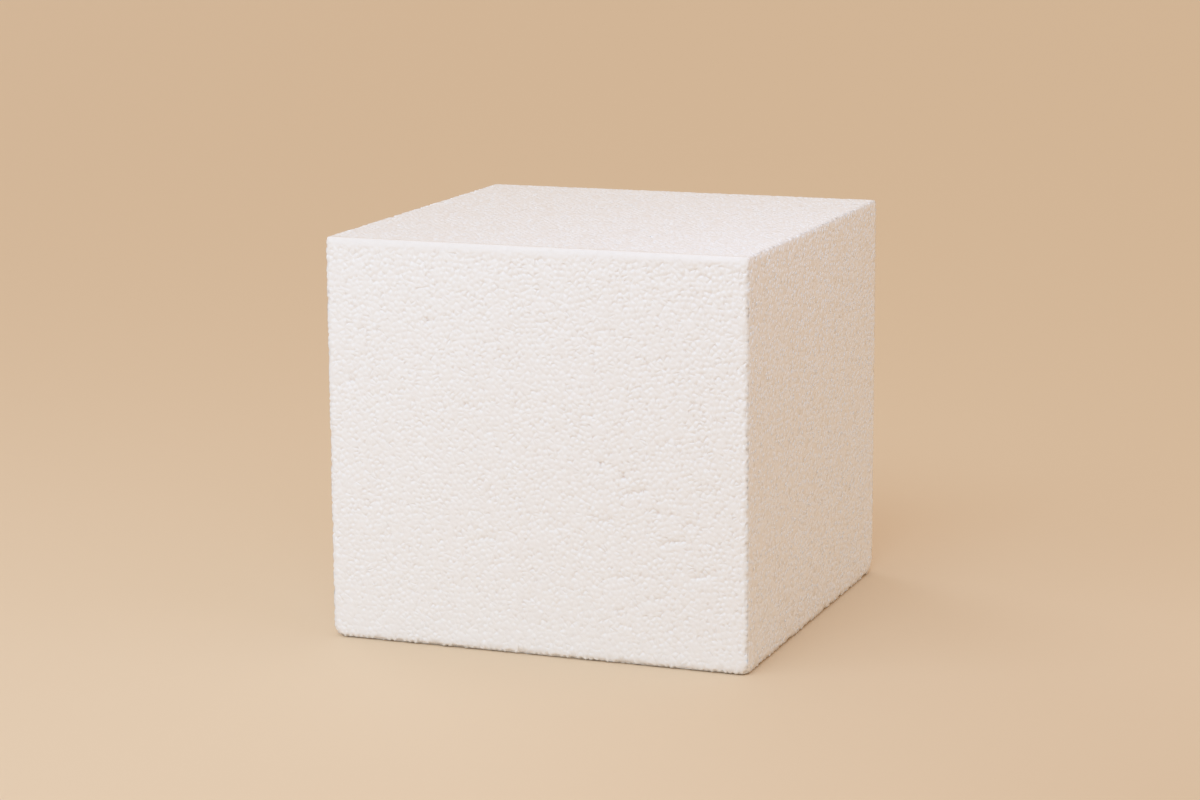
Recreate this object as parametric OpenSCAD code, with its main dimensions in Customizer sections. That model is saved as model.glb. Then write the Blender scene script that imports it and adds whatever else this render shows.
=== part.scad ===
// Plain block of white expanded polystyrene foam, moulded from fused beads.
// One solid piece. It stands on its base with its front face towards -Y.
// The origin is the middle of the base, and every size is in millimetres.

/* [Block] */
// Width of the block, from its left face to its right face
block_w = 152; // [60:1:300]
// Depth of the block, from its front face to its back face
block_d = 152; // [60:1:300]
// Height of the block, from its base to its top face
block_h = 141; // [60:1:300]

/* [Edges] */
// Height of the smooth pressed band along the top front edge
band_h = 2.4; // [1:0.1:6]
// How far the top of that band is set back from the front face
band_d = 1.0; // [0.3:0.1:2.5]
// Radius of the other three top edges
top_r = 0.7; // [0.3:0.1:4]
// Radius of the four upright edges
upright_r = 0.9; // [0.3:0.1:4]
// Radius of the four bottom edges, which are rubbed rounder than the rest
base_r = 2.2; // [0.5:0.1:6]

/* [Hidden] */
$fn = 64;
half_w = block_w / 2;
half_d = block_d / 2;
// The band is an arc that leaves the front face smoothly and meets the top in a crease.
// A band that is deeper than it is high has its smooth end at the top instead.
band_r = (band_h * band_h + band_d * band_d) / (2 * min(band_h, band_d));
band_centre = band_d <= band_h
    ? [-half_d + band_r, block_h - band_h]
    : [-half_d + band_d, block_h - band_r];

// Disc of radius r that rounds the corner of an outline at point p.
// toward gives the two directions, as signs, that lead from the corner into the outline.
module corner_round(p, toward, r) {
    translate([p[0] + toward[0] * r, p[1] + toward[1] * r]) circle(r);
}

// Outline seen from above: a rectangle with four equal round corners
module plan_outline() {
    r = upright_r;
    polygon([
        [-half_w + r, -half_d], [half_w - r, -half_d],
        [half_w, -half_d + r], [half_w, half_d - r],
        [half_w - r, half_d], [-half_w + r, half_d],
        [-half_w, half_d - r], [-half_w, -half_d + r]
    ]);
    for (sx = [-1, 1], sy = [-1, 1])
        corner_round([sx * half_w, sy * half_d], [-sx, -sy], r);
}

// Outline seen from the front, x across and z up
module front_outline() {
    polygon([
        [-half_w + base_r, 0], [half_w - base_r, 0],
        [half_w, base_r], [half_w, block_h - top_r],
        [half_w - top_r, block_h], [-half_w + top_r, block_h],
        [-half_w, block_h - top_r], [-half_w, base_r]
    ]);
    for (sx = [-1, 1]) {
        corner_round([sx * half_w, 0], [-sx, 1], base_r);
        corner_round([sx * half_w, block_h], [-sx, -1], top_r);
    }
}

// The pressed band seen from the right side: the part of its disc that fills the corner
module pressed_corner() {
    intersection() {
        translate(band_centre) circle(band_r);
        translate([-half_d, block_h - 2 * band_h]) square([2 * band_d, 2 * band_h]);
    }
}

// Outline seen from the right side, y across and z up. It leaves a notch at its top front
// corner, as wide and high as the pressed band, which the band fills.
module side_outline() {
    polygon([
        [-half_d + base_r, 0], [half_d - base_r, 0],
        [half_d, base_r], [half_d, block_h - top_r],
        [half_d - top_r, block_h], [-half_d + band_d, block_h],
        [-half_d + band_d, block_h - band_h], [-half_d, block_h - band_h],
        [-half_d, base_r]
    ]);
    for (sy = [-1, 1])
        corner_round([sy * half_d, 0], [-sy, 1], base_r);
    corner_round([half_d, block_h], [-1, -1], top_r);
    pressed_corner();
}

// The block is what the three outlines have in common
module foam_block() {
    color("white")
    intersection() {
        linear_extrude(block_h) plan_outline();
        translate([0, half_d, 0]) rotate([90, 0, 0]) linear_extrude(block_d) front_outline();
        translate([-half_w, 0, 0]) rotate([90, 0, 90]) linear_extrude(block_w) side_outline();
    }
}

foam_block();
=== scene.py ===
from math import pi, radians

import bmesh
import bpy
import numpy as np
from mathutils import Matrix, Vector
from mathutils.geometry import delaunay_2d_cdt


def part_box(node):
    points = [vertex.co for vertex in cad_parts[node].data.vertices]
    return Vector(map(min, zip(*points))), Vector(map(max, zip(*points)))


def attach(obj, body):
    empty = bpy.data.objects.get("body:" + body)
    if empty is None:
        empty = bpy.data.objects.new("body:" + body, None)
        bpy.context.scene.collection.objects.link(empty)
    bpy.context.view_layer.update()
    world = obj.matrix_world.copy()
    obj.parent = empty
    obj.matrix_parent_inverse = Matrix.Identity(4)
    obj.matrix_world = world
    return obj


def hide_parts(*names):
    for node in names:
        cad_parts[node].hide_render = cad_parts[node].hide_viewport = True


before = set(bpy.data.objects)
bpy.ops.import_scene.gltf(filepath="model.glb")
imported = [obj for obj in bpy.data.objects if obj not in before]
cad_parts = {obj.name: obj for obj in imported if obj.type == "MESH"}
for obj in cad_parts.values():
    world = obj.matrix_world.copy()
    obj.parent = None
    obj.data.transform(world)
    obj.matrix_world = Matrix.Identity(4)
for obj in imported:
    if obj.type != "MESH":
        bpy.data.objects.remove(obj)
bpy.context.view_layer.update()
bpy.ops.object.select_all(action="DESELECT")


# ---- Foam block -------------------------------------------------------------------------
# One block of expanded polystyrene: small beads of foam, blown with steam in a mould until
# they swell against each other and fuse. Each bead shows on the skin as a shallow pillow,
# with a groove round it and a pit here and there where three beads failed to close up.

# Its sizes are in millimetres. The beads are laid out in code, as they are too many to model.
mm = 0.001
low, high = (np.array(corner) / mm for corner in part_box("foam_block"))
size = high - low
random = np.random.default_rng(20)

bead_pitch = 2.09            # from one bead's middle to the next, as in fine craft foam
edge_wander = 0.16           # how far a bead on an edge lies off even spacing, in pitches
same_place = 1e-6            # places nearer to each other than this are one


def along(start, end, to_crease):
    """Middles of the beads on one straight edge of the block. Next to the crease the last
    one sits half a step from the corner, and elsewhere the corner has a bead itself."""
    length = np.abs(end - start).sum()
    count = round(length / bead_pitch)
    steps = np.arange(1, count) + random.uniform(-edge_wander, edge_wander, count - 1)
    if to_crease:
        steps[-1] = count - 1
        steps *= count / (count - 1) * (1 - bead_pitch / 2 / length)
    return start + np.outer(steps / count, end - start)


# Beads that wrap round the block's corners and edges. The top front edge has none: its
# pressed band meets the top face in a crease, and the beads stop at that line.
corners = np.array([[x, y, z] for x in (0, 1) for y in (0, 1) for z in (0, 1)])
creased = (corners[:, 1] == 0) & (corners[:, 2] == 1)
edge_beads = [low + corners[~creased] * size]
for a, start in enumerate(corners):
    for b, end in enumerate(corners):
        neighbours = np.abs(end - start).sum() == 1
        if neighbours and not creased[a] and (creased[b] or a < b):
            edge_beads.append(along(low + start * size, low + end * size, creased[b]))
edge_beads = np.concatenate(edge_beads)

# Each face: its corner of origin, the two directions that run along it, which turn
# anticlockwise as the face is seen from outside, and the tilt of its rows in degrees.
x_way, y_way, z_way = np.eye(3)
faces = {
    "front": (low, x_way, z_way, 9),
    "right": (low + size * x_way, y_way, z_way, -5),
    "back": (low + size * (x_way + y_way), -x_way, z_way, 4),
    "left": (low + size * y_way, -y_way, z_way, -7),
    "top": (low + size * z_way, x_way, y_way, 6),
    "bottom": (low + size * y_way, x_way, -y_way, 3),
}


def mirrored(places, extent):
    """The beads near a face's borders, reflected in them, so that its outer cells close."""
    reach = 3 * bead_pitch
    for axis in (0, 1):
        for border in (0.0, extent[axis]):
            gap = np.abs(places[:, axis] - border)
            near = places[(gap < reach) & (gap > same_place)].copy()
            near[:, axis] = 2 * border - near[:, axis]
            places = np.concatenate([places, near])
    return places


def cell_walls(beads, extent):
    """Every straight wall between neighbouring beads on a face, once from each side: which
    bead it belongs to, and its two ends, running anticlockwise round that bead."""
    finest = 1e-8                # what the triangulation counts as no distance
    no_area = 1e-9               # and a triangle this small joins three beads in one line
    places = mirrored(beads, extent)
    found = delaunay_2d_cdt([Vector(p) for p in places], [], [], 0, finest)
    found_triangles, found_beads = found[2:4]
    triangles = np.array([ids[0] for ids in found_beads])[np.array(found_triangles)]
    # Three cells meet at the middle of the circle that runs through their beads.
    a, b, c = (places[triangles[:, k]] for k in range(3))
    ab, ac = b - a, c - a
    twice = 2 * (ab[:, 0] * ac[:, 1] - ab[:, 1] * ac[:, 0])
    ab2, ac2 = (ab ** 2).sum(1), (ac ** 2).sum(1)
    good = np.abs(twice) > no_area
    middle = np.stack([ac[:, 1] * ab2 - ab[:, 1] * ac2, ab[:, 0] * ac2 - ac[:, 0] * ab2], 1)
    junction = a + middle / np.where(good, twice, 1)[:, None]
    owner = triangles[good].ravel()
    ends = np.repeat(junction[good], 3, axis=0)
    mine = owner < len(beads)
    owner, ends = owner[mine], ends[mine]
    # The junctions round each bead are put in order of their direction from it.
    spoke = ends - beads[owner]
    order = np.lexsort((np.arctan2(spoke[:, 1], spoke[:, 0]), owner))
    owner, ends = owner[order], ends[order]
    first = np.searchsorted(owner, owner, side="left")
    last = np.searchsorted(owner, owner, side="right") - 1
    here = np.arange(len(owner))
    following = np.where(here == last, first, here + 1)
    return owner, ends, ends[following]


def cut_to_face(owner, start, end, extent):
    """The walls that lie on the face, with those that cross its border cut there."""
    level = 1e-12                # a wall that gains less than this runs along the border
    too_short = 1e-4             # and one that is left shorter than this is dropped
    enter, leave = np.zeros(len(owner)), np.ones(len(owner))
    step = end - start
    for axis in (0, 1):
        for border, inward in ((0.0, 1), (extent[axis], -1)):
            gap = (start[:, axis] - border) * inward
            rate = step[:, axis] * inward
            crossing = -gap / np.where(np.abs(rate) < level, level, rate)
            enter = np.where(rate > level, np.maximum(enter, crossing), enter)
            leave = np.where(rate < -level, np.minimum(leave, crossing), leave)
            outside = (np.abs(rate) <= level) & (gap < -same_place)
            leave = np.where(outside, -1, leave)
    kept = (leave - enter) * np.linalg.norm(step, axis=1) > too_short
    cut_start, cut_end = start + step * enter[:, None], start + step * leave[:, None]
    cut_start, cut_end = (p.clip(0, extent) for p in (cut_start, cut_end))
    return owner[kept], cut_start[kept], cut_end[kept]


bead_wander = 0.27           # how far a bead lies off an even packing, in pitches
row_wave = 0.9               # how far the rows of beads rise and fall
row_wave_length = 47.0
second_wave = 0.6            # a smaller wave on top of that one, as a share of it
second_wave_rate = 1.7       # and how many times as often it comes
wave_shift = 9               # moves the waves along by this times a face's tilt
border_strip = 0.3           # no packed bead starts nearer a border than this, in pitches
edge_clearance = 0.66        # beads on a face keep this many pitches from those on the edges
border_gap = 0.68            # and from the edges themselves


def face_beads(origin, u_way, v_way, tilt):
    """Middles of the beads on one face, in millimetres along its two directions: the loose
    ones first, then those that sit on its edges and corners. Also how far the face extends."""
    extent = np.array([size @ np.abs(u_way), size @ np.abs(v_way)])
    out = np.cross(u_way, v_way)
    on_face = np.abs((edge_beads - origin) @ out) < same_place
    fixed = np.stack([(edge_beads[on_face] - origin) @ w for w in (u_way, v_way)], 1)
    row = bead_pitch * np.sqrt(0.75)         # how far apart the rows of a close packing lie
    reach = np.hypot(*extent)
    j, i = np.mgrid[0:int(2 * reach / row), 0:int(2 * reach / bead_pitch)]
    packed = np.stack([(i + j % 2 / 2) * bead_pitch, j * row], 2).reshape(-1, 2) - reach
    phase = packed[:, 0] / row_wave_length * 2 * pi
    wave = np.sin(phase + tilt * wave_shift) + second_wave * np.sin(second_wave_rate * phase)
    packed[:, 1] += row_wave * wave
    packed += random.normal(0, bead_wander * bead_pitch, packed.shape)
    turn = np.array([[np.cos(tilt), np.sin(tilt)], [-np.sin(tilt), np.cos(tilt)]])
    packed = packed @ turn + extent / 2
    strip = border_strip * bead_pitch
    packed = packed[((packed > strip) & (packed < extent - strip)).all(1)]
    apart = np.linalg.norm(packed[:, None] - fixed[None], axis=2).min(1)
    loose = packed[apart > edge_clearance * bead_pitch]
    # The beads push each other towards even spacing: each moves to the middle of its cell.
    beads = np.concatenate([loose, fixed])
    owner, start, end = cut_to_face(*cell_walls(beads, extent), extent)
    s, e = start - beads[owner], end - beads[owner]
    area = (s[:, 0] * e[:, 1] - s[:, 1] * e[:, 0]) / 2
    pull = np.stack([np.bincount(owner, area * (s + e)[:, k] / 3) for k in (0, 1)], 1)
    pull /= np.bincount(owner, area)[:, None]
    loose = (beads + pull)[:len(loose)]
    # Where a border has beads of its own, the loose ones stay far enough off to leave it to them.
    gap_low = np.where((np.abs(fixed) < same_place).any(0), border_gap * bead_pitch, 0)
    gap_high = np.where((np.abs(fixed - extent) < same_place).any(0), border_gap * bead_pitch, 0)
    loose = loose.clip(gap_low, extent - gap_high)
    return np.concatenate([loose, fixed]), extent


# The skin as loose triangles, each from a bead's middle to one wall of its cell.
middles, starts, ends = [], [], []
for origin, u_way, v_way, tilt in faces.values():
    beads, extent = face_beads(origin, u_way, v_way, radians(tilt))
    owner, start, end = cut_to_face(*cell_walls(beads, extent), extent)
    for found, flat in ((middles, beads[owner]), (starts, start), (ends, end)):
        found.append(origin + flat[:, :1] * u_way + flat[:, 1:] * v_way)
middles, starts, ends = (np.concatenate(found) for found in (middles, starts, ends))


def on_crease(points, within=same_place):
    """Which points lie on the line where the pressed band meets the top face."""
    return (np.abs(points[:, 1] - low[1]) < within) & (np.abs(points[:, 2] - high[2]) < within)


# Along the crease the front and top cells are cut at each other's walls, so that they join.
touching = 1e-3              # a place of the mesh this near a line or a face lies on it
meeting = np.concatenate([p[on_crease(p)][:, 0] for p in (starts, ends)])
meeting = np.unique(np.round(meeting, 5))
to_cut = on_crease(starts) & on_crease(ends)
pieces = []
for middle, a, b in zip(middles[to_cut], starts[to_cut], ends[to_cut]):
    first, last = sorted((a[0], b[0]))
    between = meeting[(meeting > first + touching) & (meeting < last - touching)]
    if b[0] < a[0]:
        between = between[::-1]
    stops = [a] + [np.array([x, a[1], a[2]]) for x in between] + [b]
    pieces += [(middle, p, q) for p, q in zip(stops, stops[1:])]
middles, starts, ends = (
    np.concatenate([whole[~to_cut], cut])
    for whole, cut in zip((middles, starts, ends), np.array(pieces).swapaxes(0, 1))
)

mesh = bpy.data.meshes.new("foam_block_skin")
corner_order = np.arange(3 * len(middles)).reshape(3, -1).T
mesh.from_pydata(np.concatenate([middles, starts, ends]) * mm, [], corner_order.tolist())


def store(name, kind, domain, values):
    """Keeps a value or a vector for each point, corner or edge of the skin."""
    layer = mesh.attributes.new(name, kind, domain)
    key = "vector" if kind == "FLOAT_VECTOR" else "value"
    layer.data.foreach_set(key, values.astype(bool if kind == "BOOLEAN" else np.float32).ravel())


def read(data, key, width=1):
    """One array of numbers out of a mesh."""
    kind = np.int32 if key in ("vertex_index", "vertices") else np.float32
    found = np.empty(len(data) * width, kind)
    data.foreach_get(key, found)
    return found.reshape(-1, width) if width > 1 else found


# groove is 0 at a bead's middle and 1 at its walls, and side tells a wall's two ends apart.
store("groove", "FLOAT", "POINT", np.repeat([0.0, 1.0, 1.0], len(middles)))
store("side", "FLOAT", "CORNER", np.tile([0.0, -1.0, 1.0], len(middles)))

# The triangles are welded into one closed skin, and the shortest walls close up.
weld_gap = 0.02
shortest_wall = 0.38
welded = bmesh.new()
welded.from_mesh(mesh)
bmesh.ops.remove_doubles(welded, verts=welded.verts, dist=weld_gap * mm)
groove_layer = welded.verts.layers.float["groove"]
clear_of_edges = []
for v in welded.verts:
    to_faces = sorted(min(v.co[k] / mm - low[k], high[k] - v.co[k] / mm) for k in range(3))
    if v[groove_layer] > 0.5 and to_faces[1] > shortest_wall:
        clear_of_edges.append(v)
bmesh.ops.remove_doubles(welded, verts=clear_of_edges, dist=shortest_wall * mm)
welded.to_mesh(mesh)
welded.free()

# Nothing on either side of the crease lies nearer to it than a narrow strip.
crease_strip = 0.4
welded_near = 0.05           # as touching, but for places that the weld may have moved
sharp_places = read(mesh.vertices, "co", 3).astype(float) / mm
is_groove = read(mesh.attributes["groove"].data, "value") > 0.5
below_top = high[2] - sharp_places[:, 2]
above_base = sharp_places[:, 2] - low[2]
behind = sharp_places[:, 1] - low[1]
in_front_strip = (behind < welded_near) & (below_top > touching) & (below_top < crease_strip)
in_top_strip = (below_top < welded_near) & (behind > touching) & (behind < crease_strip)
sharp_places[in_front_strip, 2] = high[2] - crease_strip
sharp_places[in_top_strip, 1] = low[1] + crease_strip

band_height = 2.4            # the smooth pressed band along the top front edge
band_set_back = 1.0
band_pull = 8.0              # how far behind the band the top skin is drawn back with it
top_radius = 0.7
upright_radius = 0.9
base_radius = 2.2

# Corners that were knocked blunt, as signs for right, back and top, and by how much each.
blunt_corners = {(-1, -1, -1): 1.5, (1, -1, -1): 1.3, (1, 1, -1): 1.9, (-1, -1, 1): 0.7}
blunt_reach = 1.9            # how far into the block a knock is felt, for each mm of it
blunt_give = 0.6             # how far the foam gives way
blunt_swell = 1.15           # and how much faster towards the corner


def rounded(points, axes, corner, radius):
    """Draws the points beyond a corner, seen along one axis, back onto its round edge."""
    towards = np.where(np.array(corner) > 0, 1, -1)
    centre = np.array([(high if s > 0 else low)[a] for a, s in zip(axes, towards)])
    centre = centre - towards * radius
    beyond = (points[:, axes] - centre) * towards
    length = np.linalg.norm(beyond, axis=1)
    outside = (beyond > 0).all(1) & (length > radius)
    points[np.ix_(outside, axes)] = (
        centre + (beyond * towards)[outside] * (radius / length[outside])[:, None]
    )


def shaped(points):
    """Takes points on a sharp-edged block to the same places on the real, eased one."""
    points = points.copy()
    for side in (-1, 1):
        rounded(points, [0, 2], (side, 1), top_radius)
        rounded(points, [0, 2], (side, -1), base_radius)
        rounded(points, [1, 2], (side, -1), base_radius)
        rounded(points, [0, 1], (side, -1), upright_radius)
        rounded(points, [0, 1], (side, 1), upright_radius)
    rounded(points, [1, 2], (1, 1), top_radius)
    curve = (band_height ** 2 + band_set_back ** 2) / (2 * band_set_back)
    climb = (points[:, 2] - (high[2] - band_height)).clip(0)
    back = curve - np.sqrt(curve ** 2 - climb ** 2)
    points[:, 1] += back * (1 - (points[:, 1] - low[1]) / band_pull).clip(0)
    for signs, depth in blunt_corners.items():
        towards = np.array(signs)
        corner = np.where(towards > 0, high, low)
        inward = np.abs(points - corner).sum(1) / np.sqrt(3)
        push = (blunt_reach * depth - inward).clip(0)[:, None] ** blunt_swell
        points -= push * blunt_give * towards / np.sqrt(3)
    return points


places = shaped(sharp_places)
mesh.vertices.foreach_set("co", (places * mm).astype(np.float32).ravel())
mesh.update()
outward = read(mesh.vertex_normals, "vector", 3)

# How strongly the beads stand out, 1 being fully. On the front face they fade out up to the
# pressed band, and stand out less near the base and to the left. The top and right faces
# are flatter beyond their first few millimetres.
face_depth = 0.5             # a place within this of a face counts as part of it
at_front = behind < face_depth
at_right = sharp_places[:, 0] > high[0] - face_depth
at_top = sharp_places[:, 2] > high[2] - face_depth
rightward = (sharp_places[:, 0] - low[0]) / size[0]
band_fade = np.interp(below_top, [1.2, 3.6], [0, 1])
front_relief = np.interp(above_base, [0, 18], [0.65, 1]) * np.interp(rightward, [0, 1], [0.8, 0.98])
relief = np.where(at_right, np.interp(behind, [0, 4], [1, 0.18]), 1)
relief = np.where(at_top, np.interp(behind, [0, 3], [0, 0.5]), relief)
relief = np.where(at_front, band_fade * front_relief, relief)

# How deep the grooves of the top and right faces are besides that.
flat_groove = np.interp(behind, [0, 3], [0, 0.05]) * (at_top | at_right)

# How far the skin's normals turn with each bead's dome, 1 being fully, and with the way the
# bead leans. Both count most on the right face, and the hidden faces have a little of them.
doming = np.where(at_front, 0.27 * band_fade, 0.2)
doming = np.where(at_right, np.interp(behind, [0, 3], [0.27, 1]), doming)
doming = np.where(at_top, np.interp(behind, [0.5, 3], [0, 0.5]), doming)
tilting = np.where(at_front, 0.3 * band_fade, doming)

pairs = read(mesh.edges, "vertices", 2)


def spread(values, rounds):
    """Evens values out over the skin, each round with a vertex's neighbours."""
    neighbours = np.bincount(pairs.ravel(), minlength=len(values))
    for _ in range(rounds):
        total = np.bincount(pairs[:, 0], values[pairs[:, 1]], len(values))
        total += np.bincount(pairs[:, 1], values[pairs[:, 0]], len(values))
        values = (values + total) / (neighbours + 1)
    return values


# Each bead stands a little in or out of the face, and so do patches of beads.
bead_unevenness = 0.011
patch_unevenness = 0.007
bead_step = spread(np.where(is_groove, 0.0, random.normal(0, 1, len(places))), 1)
patches = spread(random.normal(0, 1, len(places)), 5)
uneven = bead_unevenness * bead_step / bead_step.std() + patch_unevenness * patches / patches.std()

# Beads on the block's edges bulge, most of all along the base, and some are missing. The
# edges stay smooth round the pressed band, 3 mm below it and 6 mm behind it.
edge_notch = 0.45            # how deep the grooves cut into an edge
edge_bulge = 0.15
base_bulge = 0.45
missing_share = 0.25
missing_depth = 0.5
to_face = np.minimum(sharp_places - low, high - sharp_places)
on_edge = (np.sort(to_face, axis=1)[:, 1] < touching) & ((below_top > 3) | (behind > 6))
edge_step = random.uniform(0, 1, len(places))
bulge = np.where(above_base < welded_near, base_bulge, edge_bulge) * edge_step
edge_bead = missing_depth * (edge_step < missing_share) - bulge
scallop = on_edge * np.where(is_groove, edge_notch, edge_bead)

# Flaws in the front face where beads burst or pulled apart as the block was cut: how far
# each lies right of the middle and above the base, its length, half width and depth.
flaws = [
    (24, 69, 0, 1.3, 0.375), (32, 65, 0, 1.4, 0.375), (44, 53, 1, 1.0, 0.3),
    (49, 53, 0, 1.0, 0.2625), (56, 50, 1, 1.1, 0.3), (16, 57, 0, 1.0, 0.2625),
    (15, 38, 0, 1.0, 0.225), (19, 38, 1, 1.0, 0.225), (-14, 40, 0, 1.2, 0.2625),
    (-18, 40, 6, 0.6, 0.22), (-14, 31, 0, 1.0, 0.225), (-1, 21, 0, 1.1, 0.225),
    (21, 85, 0, 1.1, 0.225), (-25, 86, 1, 1.1, 0.2625), (-39, 114, 1, 1.1, 0.3),
    (-67, 92, 1, 1.2, 0.2625), (36, 60, 9, 0.8, 0.22), (50, 44, 8, 0.8, 0.22),
    (24, 49, 9, 0.8, 0.198), (60, 33, 7, 0.8, 0.22), (8, 46, 8, 0.8, 0.165),
    (44, 24, 8, 0.8, 0.198), (30, 30, 7, 0.8, 0.165), (62, 62, 7, 0.8, 0.165),
]
flaw_rise = radians(13)      # the long ones climb to the right
flaw_sink = np.zeros(len(places))
for right, up, length, half_width, depth in flaws:
    gap_x, gap_z = sharp_places[:, 0] - right, above_base - up
    along_it = gap_x * np.cos(flaw_rise) + gap_z * np.sin(flaw_rise)
    off_it = gap_z * np.cos(flaw_rise) - gap_x * np.sin(flaw_rise)
    past_end = (np.abs(along_it) - length / 2).clip(0)
    reach = (past_end ** 2 + off_it ** 2) / half_width ** 2
    flaw_sink = np.maximum(flaw_sink, depth * np.exp(-reach) * at_front)

# How far each junction of three beads stayed open, from 0 to 1: most nearly closed, and few
# left as pits. The middle of a bead has none. Flaws open the junctions in them further.
mostly_closed = 2.2          # the higher, the fewer are left open
flaw_opening = 5             # how far a flaw opens them, for each mm of its depth
widest_open = 1.6
groove_depth = 0.019
pit_depth = 0.115
openness = random.uniform(0, 1, len(places)) ** mostly_closed
openness = np.maximum(openness, (flaw_sink * flaw_opening).clip(0, widest_open)) * is_groove
sink = relief * (uneven + groove_depth * is_groove + pit_depth * openness) + flat_groove * is_groove
sink = sink - sink.min() + scallop + flaw_sink
places = (places - outward * sink[:, None]).clip(low, high)
mesh.vertices.foreach_set("co", (places * mm).astype(np.float32).ravel())

# What the material reads: how far a place belongs to the pressed band, how strongly its
# beads stand out, and for each triangle how deep the pits at its wall's two ends are and
# how strongly their painted shade shows, which is least on the top and right faces.
store("pressed", "FLOAT", "POINT", np.interp(below_top, [0, 4.5], [1, 0]) * at_front)
store("relief", "FLOAT", "POINT", relief)
corner_vertex = read(mesh.loops, "vertex_index").reshape(-1, 3)
hollows = np.zeros((len(corner_vertex), 3, 3))
hollows[:, :, :2] = (openness * relief)[corner_vertex[:, 1:]][:, None]
# How strongly the pits' painted shade shows: little on the top and right faces.
hollows[:, :, 2] = np.where(at_top | at_right, 0.15, 1.0)[corner_vertex]
store("hollow", "FLOAT_VECTOR", "CORNER", hollows)

# The skin is shaded smoothly, except that the crease stays sharp.
mesh.shade_smooth()
store("sharp_edge", "BOOLEAN", "EDGE", on_crease(sharp_places, welded_near)[pairs].all(1))
mesh.update()

# Each bead is a low dome that turns outwards at its walls, and more at its open pits. It
# turns most on its front and upper side, as if a cutting wire had dragged it that way, and
# each bead leans a little its own way. Relief as fine as this is too faint in the mesh
# alone, so the skin's normals carry it as well.
wall_turn = 0.05             # how far the skin turns at a bead's walls
pit_turn = 0.3               # and how much further at an open pit
far_side = 0.3               # how much of that a bead's back and lower side keep
drag_way = np.array([0, -1, 0.6])
drag_turn = 1.9              # how far a bead that stands proud turns where it was dragged
few_proud = 1.3              # the higher, the fewer beads stand proud
bead_lean = 0.08             # how far a whole bead leans
calming = 0.45               # how much of its neighbours' lean is taken off
proud = random.uniform(0, 1, len(places)) ** few_proud
lean_ways = random.normal(0, 1, (3, len(places))) * ~is_groove
crowns_near = spread((~is_groove).astype(float), 2)
lean_ways = [way - calming * spread(way, 2) / crowns_near for way in lean_ways]
lean_ways = bead_lean * np.stack(lean_ways, 1)
bead, wall_ends = corner_vertex[:, 0], sharp_places[corner_vertex[:, 1:]]
turning = np.zeros((len(corner_vertex), 3, 3))
for k, target in enumerate([wall_ends.mean(1), wall_ends[:, 0], wall_ends[:, 1]]):
    away = target - sharp_places[bead]
    away /= np.linalg.norm(away, axis=1)[:, None]
    dragged = away @ drag_way
    near_side = far_side + (1 - far_side) * (0.5 + dragged / 2).clip(0, 1)
    turn = (wall_turn + pit_turn * openness[corner_vertex[:, k]] ** 2) * near_side * (k > 0)
    turn += drag_turn * proud[bead] * dragged.clip(0) ** 2
    turning[:, k] = away * (turn * doming[corner_vertex].min(1))[:, None]
    turning[:, k] += lean_ways[bead] * tilting[corner_vertex].min(1)[:, None]
facing = read(mesh.corner_normals, "vector", 3).reshape(-1, 3, 3) + turning
facing /= np.linalg.norm(facing, axis=2)[:, :, None]
mesh.normals_split_custom_set(facing.reshape(-1, 3).tolist())

foam_block = bpy.data.objects.new("foam_block_skin", mesh)
bpy.context.scene.collection.objects.link(foam_block)


def linear(code):
    """An sRGB colour such as "F2EFEC" as the linear colour that a shader takes."""
    values = [int(code[k:k + 2], 16) / 255 for k in (0, 2, 4)]
    return [v / 12.92 if v <= 0.04045 else ((v + 0.055) / 1.055) ** 2.4 for v in values] + [1.0]


def add_node(tree, kind, settings=None, **links):
    """Adds a shader node. settings are its own properties or its sockets' values, and each
    link feeds a socket, whose name has _ for a space, from another node's output."""
    node = tree.nodes.new("ShaderNode" + kind)
    for key, value in (settings or {}).items():
        if isinstance(key, str) and hasattr(node, key):
            setattr(node, key, value)
        else:
            node.inputs[key].default_value = value
    for key, output in links.items():
        socket = int(key[1:]) if key[1:].isdigit() else key.replace("_", " ")
        tree.links.new(output, node.inputs[socket])
    return node


# Expanded polystyrene: white because light scatters in its countless air cells, with a
# thin, slightly shiny skin of plain polystyrene over each bead. It gives a soft, chalky
# white with faint glints on the crowns. The open pits are painted a warmer, darker colour,
# which is painted shade. The pressed band is painted a little greyer, also painted shade.
# The IOR is plain polystyrene's.
bead_white = linear("F2F1F1")
# The pits' warm grey is painted shade.
painted_pit_shade = linear("C8A490")
# The pressed band's greyer white is painted shade.
band_white_with_painted_shade = linear("ECE7E3")
crown_height = 0.043         # the fine bump of a bead's crown
pit_hollow = 0.16            # and of a pit that is fully open
foam = bpy.data.materials.new("expanded polystyrene")
foam.use_nodes = True
tree = foam.node_tree
tree.nodes.clear()
groove_node = add_node(tree, "Attribute", {"attribute_name": "groove"})
side_node = add_node(tree, "Attribute", {"attribute_name": "side"})
hollow_node = add_node(tree, "Attribute", {"attribute_name": "hollow"})
relief_node = add_node(tree, "Attribute", {"attribute_name": "relief"})
pressed_node = add_node(tree, "Attribute", {"attribute_name": "pressed"})
hollow_parts = add_node(tree, "SeparateXYZ", Vector=hollow_node.outputs["Vector"])

# A round pit at each end of a wall. groove less side is 2 at its first end, and groove and
# side together are 2 at its other end.
pits = []
for operation, end_depth in (("SUBTRACT", "X"), ("ADD", "Y")):
    nearness = add_node(
        tree, "Math", {"operation": operation},
        _0=groove_node.outputs["Fac"], _1=side_node.outputs["Fac"],
    )
    bowl = add_node(
        tree, "MapRange", {"interpolation_type": "SMOOTHSTEP", "From Min": 0.4, "From Max": 2.0},
        Value=nearness.outputs[0],
    )
    pits.append(add_node(
        tree, "Math", {"operation": "MULTIPLY"},
        _0=bowl.outputs[0], _1=hollow_parts.outputs[end_depth],
    ))
pit = add_node(tree, "Math", {"operation": "ADD"}, _0=pits[0].outputs[0], _1=pits[1].outputs[0])

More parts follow.
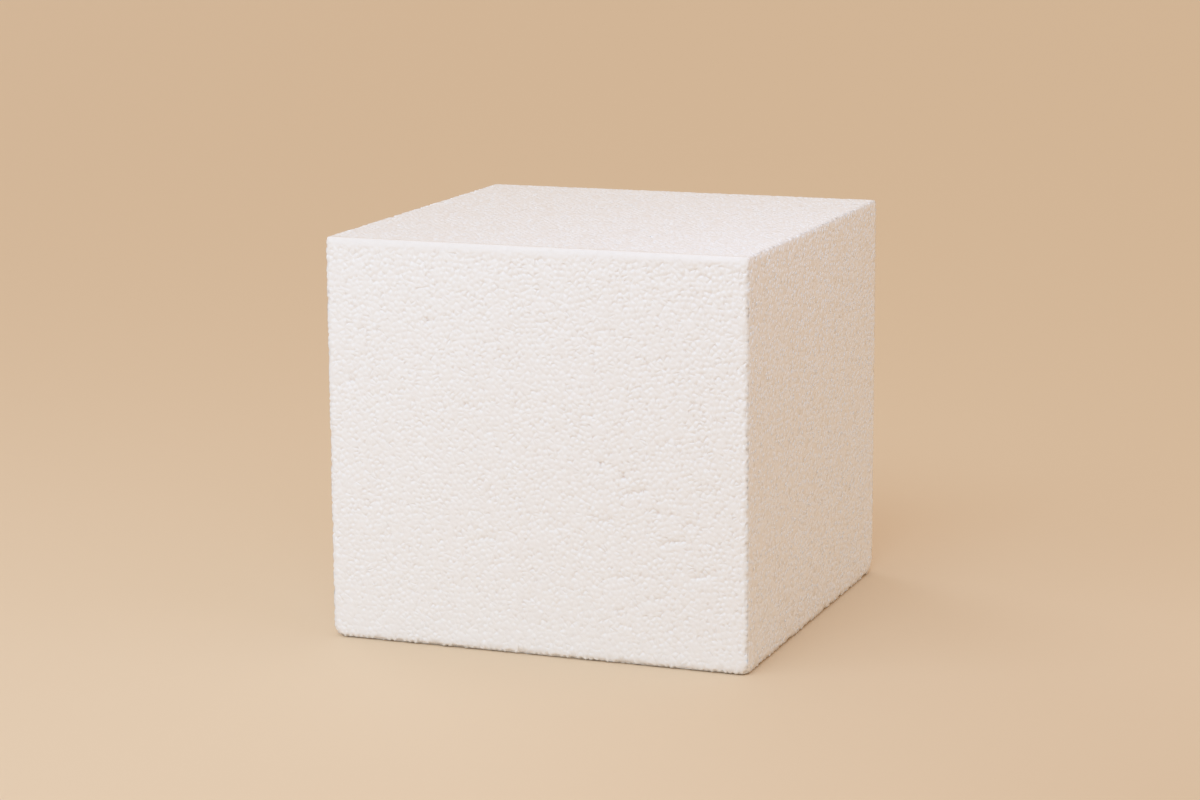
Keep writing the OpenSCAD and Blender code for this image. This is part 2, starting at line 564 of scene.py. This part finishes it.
# The crown falls away smoothly towards the walls, and the pits are sunk into it.
rounded_bead = add_node(
    tree, "MapRange", {"interpolation_type": "SMOOTHSTEP", "To Max": -crown_height},
    Value=groove_node.outputs["Fac"],
)
crown = add_node(
    tree, "Math", {"operation": "MULTIPLY"},
    _0=rounded_bead.outputs[0], _1=relief_node.outputs["Fac"],
)
height = add_node(
    tree, "Math", {"operation": "MULTIPLY_ADD", 1: -pit_hollow},
    _0=pit.outputs[0], _2=crown.outputs[0],
)
bump = add_node(tree, "Bump", {"Strength": 1.0, "Distance": mm}, Height=height.outputs[0])

# Only pits that are deep enough get the painted shade.
painted_shade_amount = add_node(
    tree, "Math", {"operation": "MULTIPLY"},
    _0=pit.outputs[0], _1=hollow_parts.outputs["Z"],
)
shade = add_node(
    tree, "MapRange", {"From Min": 0.45, "From Max": 2.9}, Value=painted_shade_amount.outputs[0],
)
bead_mix = add_node(
    tree, "MixRGB", {"Color1": bead_white, "Color2": painted_pit_shade}, Fac=shade.outputs[0],
)
# The pressed band gets its greyer white, painted shade against the light its turned face catches.
band_mix = add_node(
    tree, "MixRGB", {"Color2": band_white_with_painted_shade},
    Fac=pressed_node.outputs["Fac"], Color1=bead_mix.outputs[0],
)
surface = add_node(
    tree, "BsdfPrincipled", {"Roughness": 0.29, "IOR": 1.59},
    Base_Color=band_mix.outputs[0], Normal=bump.outputs[0],
)
add_node(tree, "OutputMaterial", Surface=surface.outputs[0])
mesh.materials.append(foam)

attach(foam_block, "root")
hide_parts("foam_block")


# ---- Floor --------------------------------------------------------------------------------
# A wide sheet of plain warm paper, uncoated and quite matt, which the block stands on.

floor_radius = 12            # in metres, so that its rim doesn't show
bpy.ops.mesh.primitive_circle_add(vertices=96, radius=floor_radius, fill_type="NGON")
floor = bpy.context.active_object
floor.name = "floor"
paper = bpy.data.materials.new("plain paper")
paper.use_nodes = True
paper_surface = paper.node_tree.nodes["Principled BSDF"]
paper_surface.inputs["Base Color"].default_value = linear("E5CFB3")
paper_surface.inputs["Roughness"].default_value = 0.9
paper_surface.inputs["Specular IOR Level"].default_value = 0.1
floor.data.materials.append(paper)


# ---- Light --------------------------------------------------------------------------------
# A broad high light in front, a large soft box at the left front, a small one close to the
# right face, a broad low light from behind on the left, and an even warm room light.

block_middle = Vector((low + high) / 2 * mm)


def aimed(azimuth, elevation):
    """The turn of a lamp or camera that looks at the block. Azimuth 0 is in front of it and
    90 to its right, and elevation is up from the floor, in degrees."""
    upward = Matrix.Rotation(radians(90 - elevation), 4, "X")
    return Matrix.Rotation(radians(azimuth), 4, "Z") @ upward


def soft_box(name, azimuth, elevation, distance, width, watts, colour):
    """A square area light that faces the block. Its distance and width are in metres."""
    lamp = bpy.data.lights.new(name, "AREA")
    lamp.shape = "SQUARE"
    lamp.size = width
    lamp.energy = watts
    lamp.color = linear(colour)[:3]
    holder = bpy.data.objects.new(name, lamp)
    away = Matrix.Translation((0, 0, distance))
    holder.matrix_world = Matrix.Translation(block_middle) @ aimed(azimuth, elevation) @ away
    holder.visible_camera = False
    bpy.context.scene.collection.objects.link(holder)


def distant(name, azimuth, elevation, breadth, level, colour):
    """A far, broad light. level is what it adds to a surface that faces it, 1 for white."""
    lamp = bpy.data.lights.new(name, "SUN")
    lamp.angle = radians(breadth)
    lamp.energy = level * pi
    lamp.color = linear(colour)[:3]
    holder = bpy.data.objects.new(name, lamp)
    holder.matrix_world = aimed(azimuth, elevation)
    bpy.context.scene.collection.objects.link(holder)


distant("key", azimuth=9, elevation=48, breadth=40, level=0.270, colour="B2DBF5")
soft_box("key box", azimuth=-30, elevation=25, distance=0.8, width=0.82, watts=2.62, colour="BADDFF")
soft_box("right box", azimuth=58, elevation=57, distance=0.32, width=0.2, watts=0.19, colour="BFD0F4")
distant("back fill", azimuth=235, elevation=12, breadth=40, level=0.30, colour="C8E2FF")

room = bpy.data.worlds.new("room")
room.use_nodes = True
room_light = room.node_tree.nodes["Background"]
room_light.inputs["Color"].default_value = linear("FFE4C8")
room_light.inputs["Strength"].default_value = 0.688
bpy.context.scene.world = room
bpy.context.scene.view_settings.view_transform = "Standard"


# ---- Camera -------------------------------------------------------------------------------
# A long lens a little over a metre away, from the front right and slightly above.

camera_azimuth = 20.73
camera_elevation = 11.11
camera_roll = -0.34
camera_offset = (-0.0045, 0.0044, 1.137)      # to its right, up and back, in metres
camera_data = bpy.data.cameras.new("camera")
camera_data.sensor_width = 36
camera_data.lens = 95.0
camera_data.clip_start = 0.05
camera_data.clip_end = 30
camera = bpy.data.objects.new("camera", camera_data)
view = aimed(camera_azimuth, camera_elevation) @ Matrix.Rotation(radians(camera_roll), 4, "Z")
camera.matrix_world = Matrix.Translation(block_middle) @ view @ Matrix.Translation(camera_offset)
bpy.context.scene.collection.objects.link(camera)
bpy.context.scene.camera = camera
